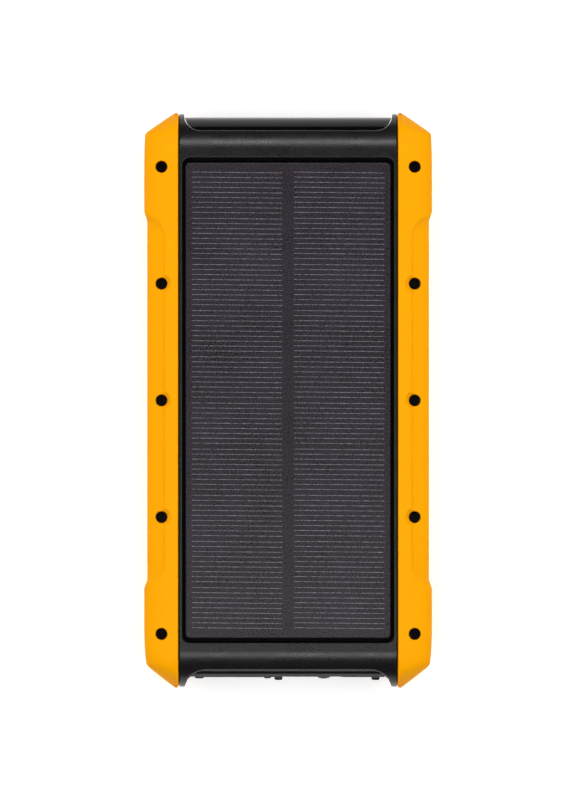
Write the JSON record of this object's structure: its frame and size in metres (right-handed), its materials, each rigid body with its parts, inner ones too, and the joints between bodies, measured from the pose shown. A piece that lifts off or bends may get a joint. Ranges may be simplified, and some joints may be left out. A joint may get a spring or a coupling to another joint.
{
  "type": "solar power bank",
  "caption": "Rugged rectangular power bank with a solar panel on its face, bolted side bumpers, a lamp window on one end and hinged covers over sockets on the other.",
  "frame": {"origin": "middle of the footprint, on the plane of the rails' back faces that the bank lies on", "axes": "+Z out of the solar panel, +Y towards the lamp end, -Y towards the socket end, +X to the right when looking at the panel with the lamp end up"},
  "size_m": [0.086, 0.172, 0.028],
  "materials": {
    "shell_plastic": "fine spark texture",
    "bezel_plastic": "fine spark texture",
    "rail_plastic": "smooth satin",
    "screw_steel": "black oxide",
    "grey_silicone": "matte",
    "cell_foam": "matte foam",
    "panel_tape": "matte",
    "panel_board": "satin",
    "solar_cell": "satin silicon",
    "panel_resin": "satin clear resin over the cells",
    "smoked_window": "polished",
    "reflector_chrome": "mirror",
    "aluminium": "satin",
    "lamp_chip": "smooth",
    "cover_rubber": "matte",
    "socket_steel": "satin",
    "tongue_white": "satin",
    "chip_black": "satin",
    "ferrite": "matte",
    "light_guide": "polished",
    "circuit_board": "satin",
    "pouch_foil": "satin",
    "tab_nickel": "satin",
    "lead_red": "satin",
    "lead_black": "satin"
  },
  "bodies": {
    "case": {"front_shell": "shell_plastic", "back_shell": "shell_plastic", "left_rail": "rail_plastic", "right_rail": "rail_plastic", "side_seal_left": "grey_silicone", "side_seal_right": "grey_silicone", "solar_tape": "panel_tape", "solar_board": "panel_board", "solar_cells_left": "solar_cell", "solar_cells_right": "solar_cell", "solar_laminate": "panel_resin", "lamp_window": "smoked_window", "lamp_reflector": "reflector_chrome", "lamp_board": "aluminium", "lamp_led_left": "lamp_chip", "lamp_led_right": "lamp_chip", "port_bezel": "bezel_plastic", "port_bezel_seal": "grey_silicone", "usb_a_shell_left": "socket_steel", "usb_a_tongue_left": "tongue_white", "usb_a_shell_right": "socket_steel", "usb_a_tongue_right": "tongue_white", "usb_c_shell": "socket_steel", "usb_c_tongue": "chip_black", "cover_anchor_left": "cover_rubber", "cover_anchor_right": "cover_rubber", "switch_body": "chip_black", "indicator_light_guide": "light_guide", "main_board": "circuit_board", "boost_inductor": "ferrite", "charge_controller": "chip_black", "output_capacitor": "aluminium", "board_screw_left": "socket_steel", "board_screw_right": "socket_steel", "battery_cell_back": "pouch_foil", "battery_cell_front": "pouch_foil", "cell_foam_pad": "cell_foam", "battery_tab_positive": "tab_nickel", "battery_tab_negative": "tab_nickel", "protection_board": "circuit_board", "battery_lead_positive": "lead_red", "battery_lead_negative": "lead_black", "panel_lead": "lead_red", "lamp_lead": "lead_black", "rail_screw_left_1": "screw_steel", "rail_screw_left_2": "screw_steel", "rail_screw_left_3": "screw_steel", "rail_screw_left_4": "screw_steel", "rail_screw_left_5": "screw_steel", "rail_screw_right_1": "screw_steel", "rail_screw_right_2": "screw_steel", "rail_screw_right_3": "screw_steel", "rail_screw_right_4": "screw_steel", "rail_screw_right_5": "screw_steel"},
    "left_cover": {"port_cover_left": "cover_rubber"},
    "right_cover": {"port_cover_right": "cover_rubber"},
    "button": {"power_button": "cover_rubber"},
    "plunger": {"switch_plunger": "tongue_white"}
  },
  "joints": [
    {"name": "left_cover_hinge", "type": "hinge", "parent": "case", "child": "left_cover", "pos_m": [-0.0286, -0.0816, 0.014], "axis": [0, 0, -1], "range_deg": [0, 90], "stiffness_Nm_per_rad": 0.0004},
    {"name": "right_cover_hinge", "type": "hinge", "parent": "case", "child": "right_cover", "pos_m": [0.015, -0.0816, 0.014], "axis": [0, 0, -1], "range_deg": [0, 90], "stiffness_Nm_per_rad": 0.0002},
    {"name": "button_press", "type": "slide", "parent": "case", "child": "button", "axis": [0, 1, 0], "range_m": [0, 0.0005], "stiffness_N_per_m": 400},
    {"name": "plunger_slide", "type": "slide", "parent": "case", "child": "plunger", "axis": [0, 1, 0], "range_m": [0, 0.0005]}
  ],
  "couplings": [
    {"joint": "plunger_slide", "follows": "button_press", "ratio": 1}
  ]
}
